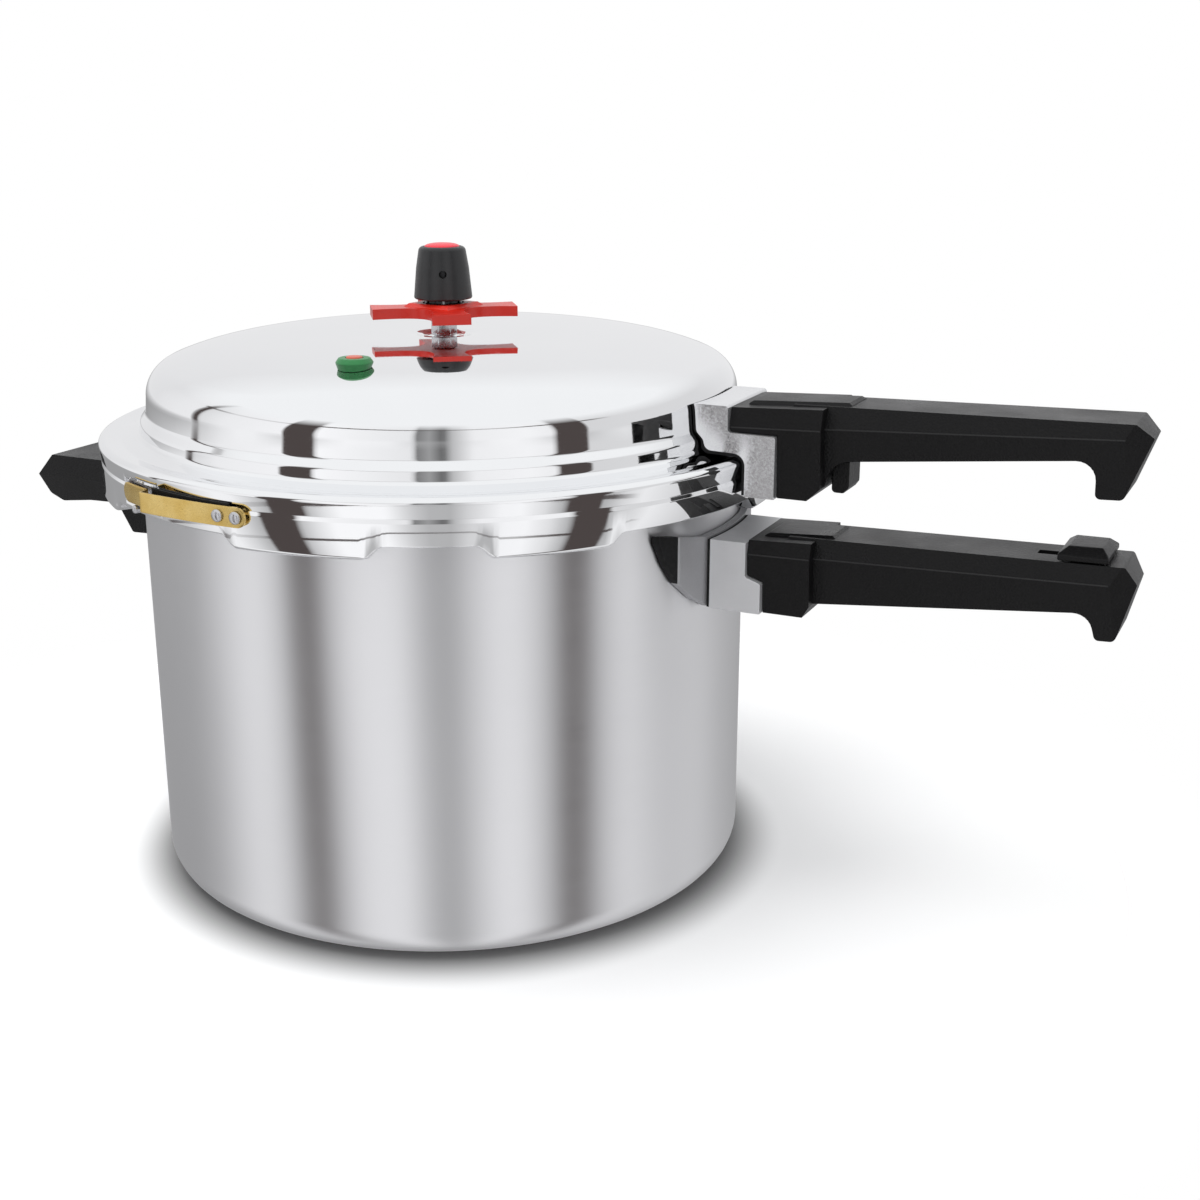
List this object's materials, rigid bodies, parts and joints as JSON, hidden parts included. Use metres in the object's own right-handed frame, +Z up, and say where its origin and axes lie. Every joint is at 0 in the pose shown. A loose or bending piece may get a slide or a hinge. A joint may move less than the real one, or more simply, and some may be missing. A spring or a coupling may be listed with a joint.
{
  "type": "pressure cooker",
  "caption": "Stove-top pressure cooker with an outside-locking polished lid, long handles with a sprung lock, helper handle, star-guarded weight, safety plug and spring leaf.",
  "frame": {"origin": "centre of the pot's flat underside, where it rests on the stove", "axes": "+Z up along the pot's axis, +X out along the two long handles, helper handle towards -X"},
  "size_m": [0.4641, 0.2737, 0.2482],
  "materials": {
    "pot_aluminium": "satin, fine vertical grain",
    "lid_aluminium": "mirror polished",
    "cast_aluminium": "cast and polished",
    "steel": "bright",
    "bakelite": "moulded, fine grain",
    "brass": "stamped, bright",
    "grey_silicone": "matt",
    "green_silicone": "satin",
    "red_plastic": "semi-gloss",
    "black_plastic": "satin"
  },
  "bodies": {
    "pot": {"pot_body": "pot_aluminium", "pot_handle_saddle": "cast_aluminium", "pot_handle_bracket": "cast_aluminium", "pot_handle_grip": "bakelite", "pot_handle_screw": "steel", "helper_bracket": "cast_aluminium", "helper_grip": "bakelite", "helper_screw": "steel", "pot_bracket_rivet_near": "cast_aluminium", "pot_bracket_rivet_far": "cast_aluminium", "helper_rivet_near": "cast_aluminium", "helper_rivet_far": "cast_aluminium"},
    "catch": {"catch_slide": "bakelite"},
    "lid": {"lid_shell": "lid_aluminium", "sealing_gasket": "grey_silicone", "lid_handle_bracket": "cast_aluminium", "lid_handle_grip": "bakelite", "lid_handle_screw": "steel", "lid_bracket_rivet_near": "cast_aluminium", "lid_bracket_rivet_far": "cast_aluminium", "trigger_spring": "steel", "leaf_stop_pin": "steel", "vent_stem": "steel", "vent_washer": "grey_silicone", "vent_nut": "steel", "safety_plug": "green_silicone"},
    "trigger": {"lock_trigger": "bakelite"},
    "leaf": {"lock_leaf": "brass", "leaf_rivet_1": "steel", "leaf_rivet_2": "steel"},
    "star": {"star_grip": "red_plastic"},
    "weight": {"weight_core": "steel", "weight_shell": "black_plastic", "weight_cap": "red_plastic"},
    "pressure_pin": {"safety_pin": "red_plastic"}
  },
  "joints": [
    {"name": "lid_turn", "type": "hinge", "parent": "pot", "child": "lid", "pos_m": [0, 0, 0.16], "axis": [0, 0, 1], "range_deg": [-20, 0]},
    {"name": "catch_travel", "type": "slide", "parent": "pot", "child": "catch", "axis": [-1, 0, 0], "range_m": [0, 0.008]},
    {"name": "trigger_pull", "type": "slide", "parent": "lid", "child": "trigger", "axis": [1, 0, 0], "range_m": [0, 0.006], "stiffness_N_per_m": 150, "deforming": ["trigger_spring"]},
    {"name": "leaf_flex", "type": "hinge", "parent": "lid", "child": "leaf", "pos_m": [0.00142, -0.13569, 0.1686], "axis": [0, 0, 1], "range_deg": [0, 3], "stiffness_Nm_per_rad": 0.6},
    {"name": "regulator_lift", "type": "slide", "parent": "lid", "child": "star", "axis": [0, 0, 1], "range_m": [0, 0.03]},
    {"name": "weight_spin", "type": "hinge", "parent": "star", "child": "weight", "pos_m": [0, 0, 0.224], "axis": [0, 0, 1], "continuous": true},
    {"name": "pin_rise", "type": "slide", "parent": "lid", "child": "pressure_pin", "axis": [0, 0, 1], "range_m": [0, 0.004]}
  ]
}
